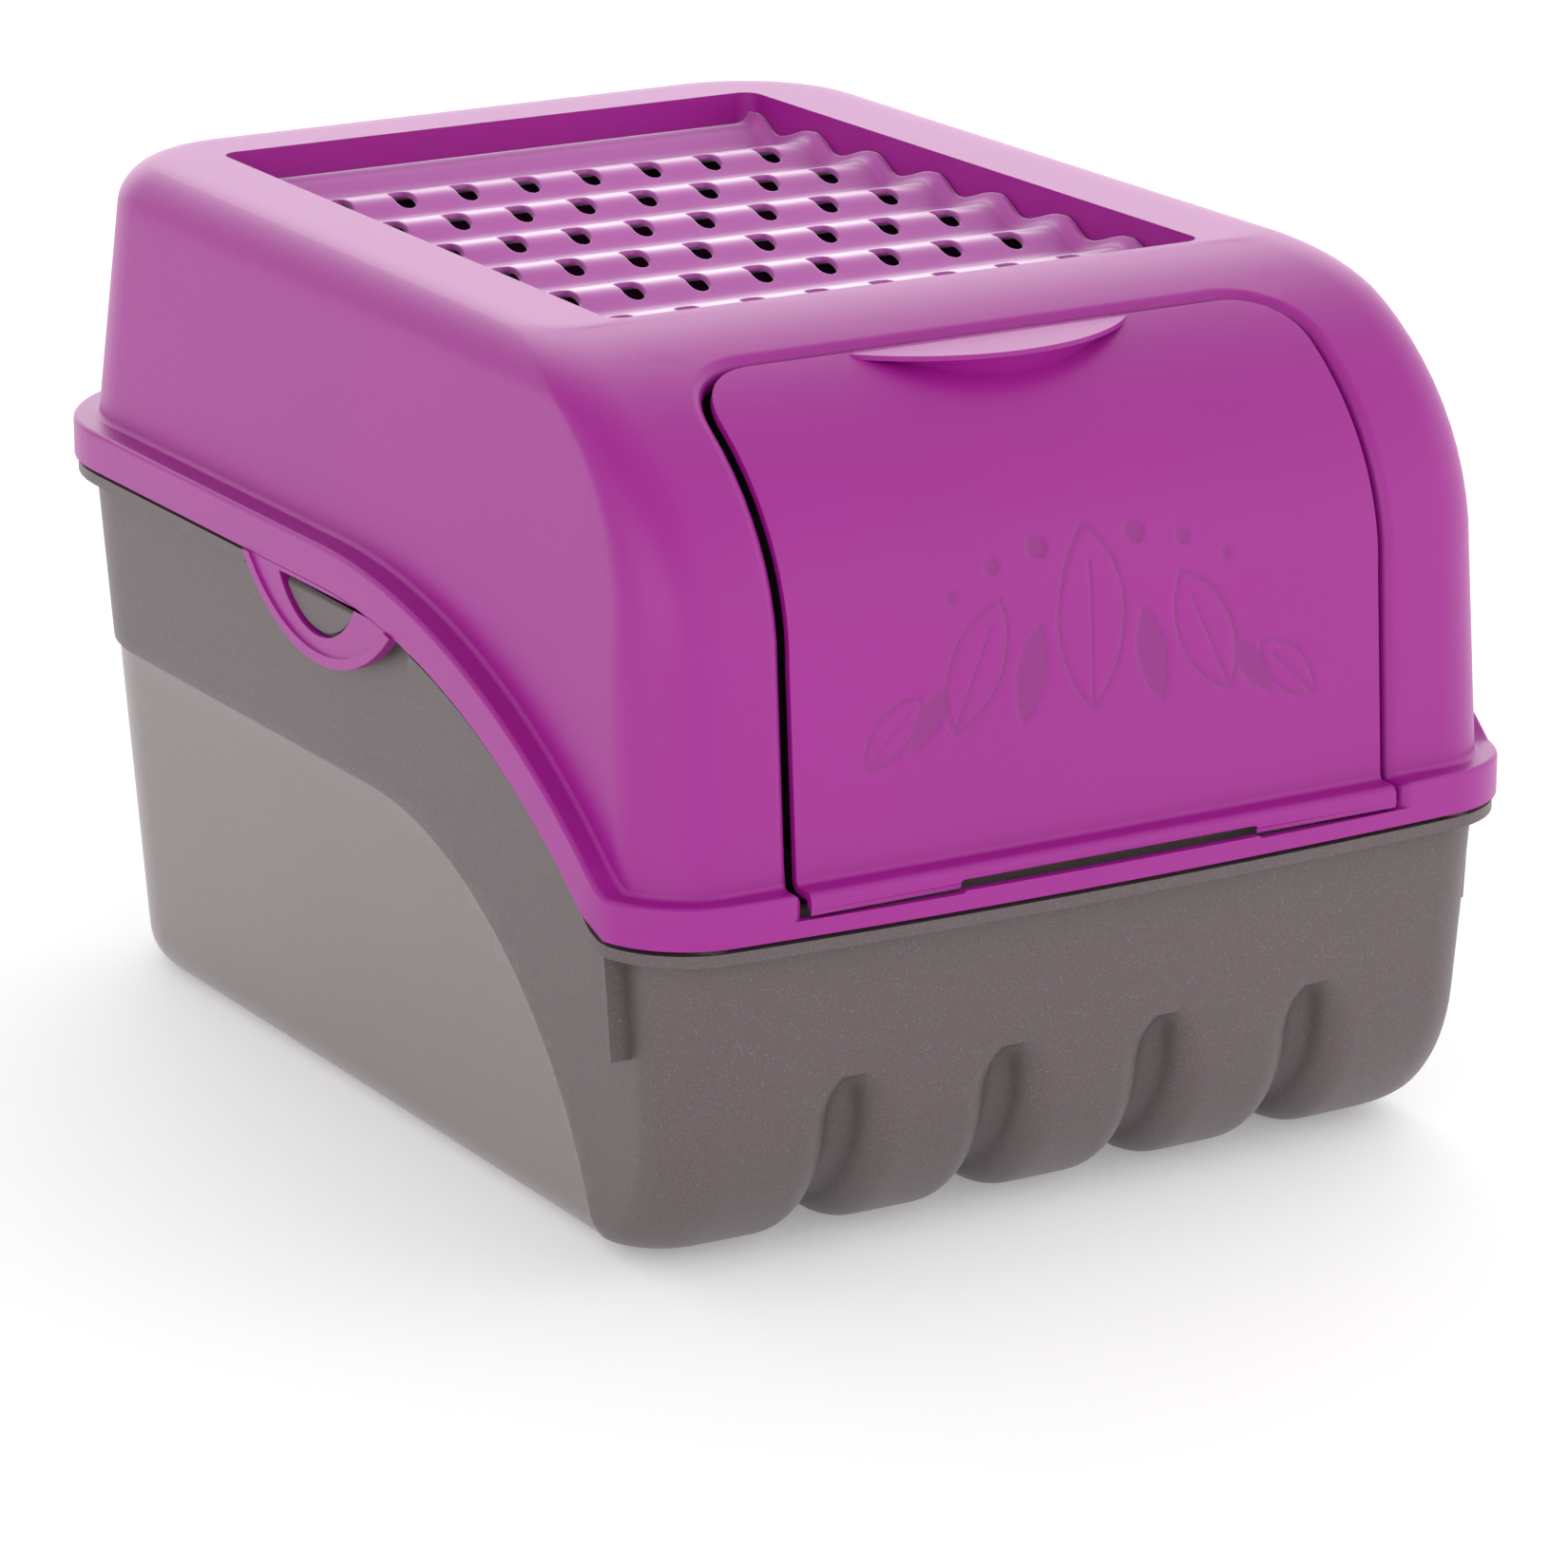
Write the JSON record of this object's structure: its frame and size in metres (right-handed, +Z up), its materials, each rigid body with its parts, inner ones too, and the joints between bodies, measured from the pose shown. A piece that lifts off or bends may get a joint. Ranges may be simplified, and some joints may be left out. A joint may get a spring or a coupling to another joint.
{
  "type": "potato storage bin",
  "caption": "Plastic storage bin for potatoes: a tub with a lobed floor, a clip-on hood with a vented tray top, a hinged front flap and a snap latch tab on each side.",
  "frame": {"origin": "on the floor under the middle of the bin's outline", "axes": "+Z up, -Y towards the front flap, +X to the right as seen from the front"},
  "size_m": [0.2616, 0.3516, 0.222],
  "materials": {
    "tub_plastic": "fine spark-eroded grain with light speckle",
    "hood_plastic": "satin"
  },
  "bodies": {
    "tub": {"tub": "tub_plastic", "catch_lug_left": "tub_plastic", "catch_lug_right": "tub_plastic"},
    "hood": {"hood": "hood_plastic", "vent_grille": "hood_plastic", "film_hinge_left": "hood_plastic", "film_hinge_right": "hood_plastic"},
    "flap": {"front_flap": "hood_plastic"},
    "tab_left": {"latch_tab_left": "hood_plastic"},
    "tab_right": {"latch_tab_right": "hood_plastic"}
  },
  "joints": [
    {"name": "hood_lift", "type": "slide", "parent": "tub", "child": "hood", "axis": [0, 0, 1], "range_m": [0, 0.2]},
    {"name": "flap_hinge", "type": "hinge", "parent": "hood", "child": "flap", "pos_m": [0, -0.1731, 0.0971], "axis": [1, 0, 0], "range_deg": [0, 110]},
    {"name": "latch_flex_left", "type": "hinge", "parent": "hood", "child": "tab_left", "pos_m": [-0.13, 0, 0.1435], "axis": [0, 1, 0], "range_deg": [0, 9], "stiffness_Nm_per_rad": 0.6},
    {"name": "latch_flex_right", "type": "hinge", "parent": "hood", "child": "tab_right", "pos_m": [0.13, 0, 0.1435], "axis": [0, -1, 0], "range_deg": [0, 9], "stiffness_Nm_per_rad": 0.6}
  ]
}
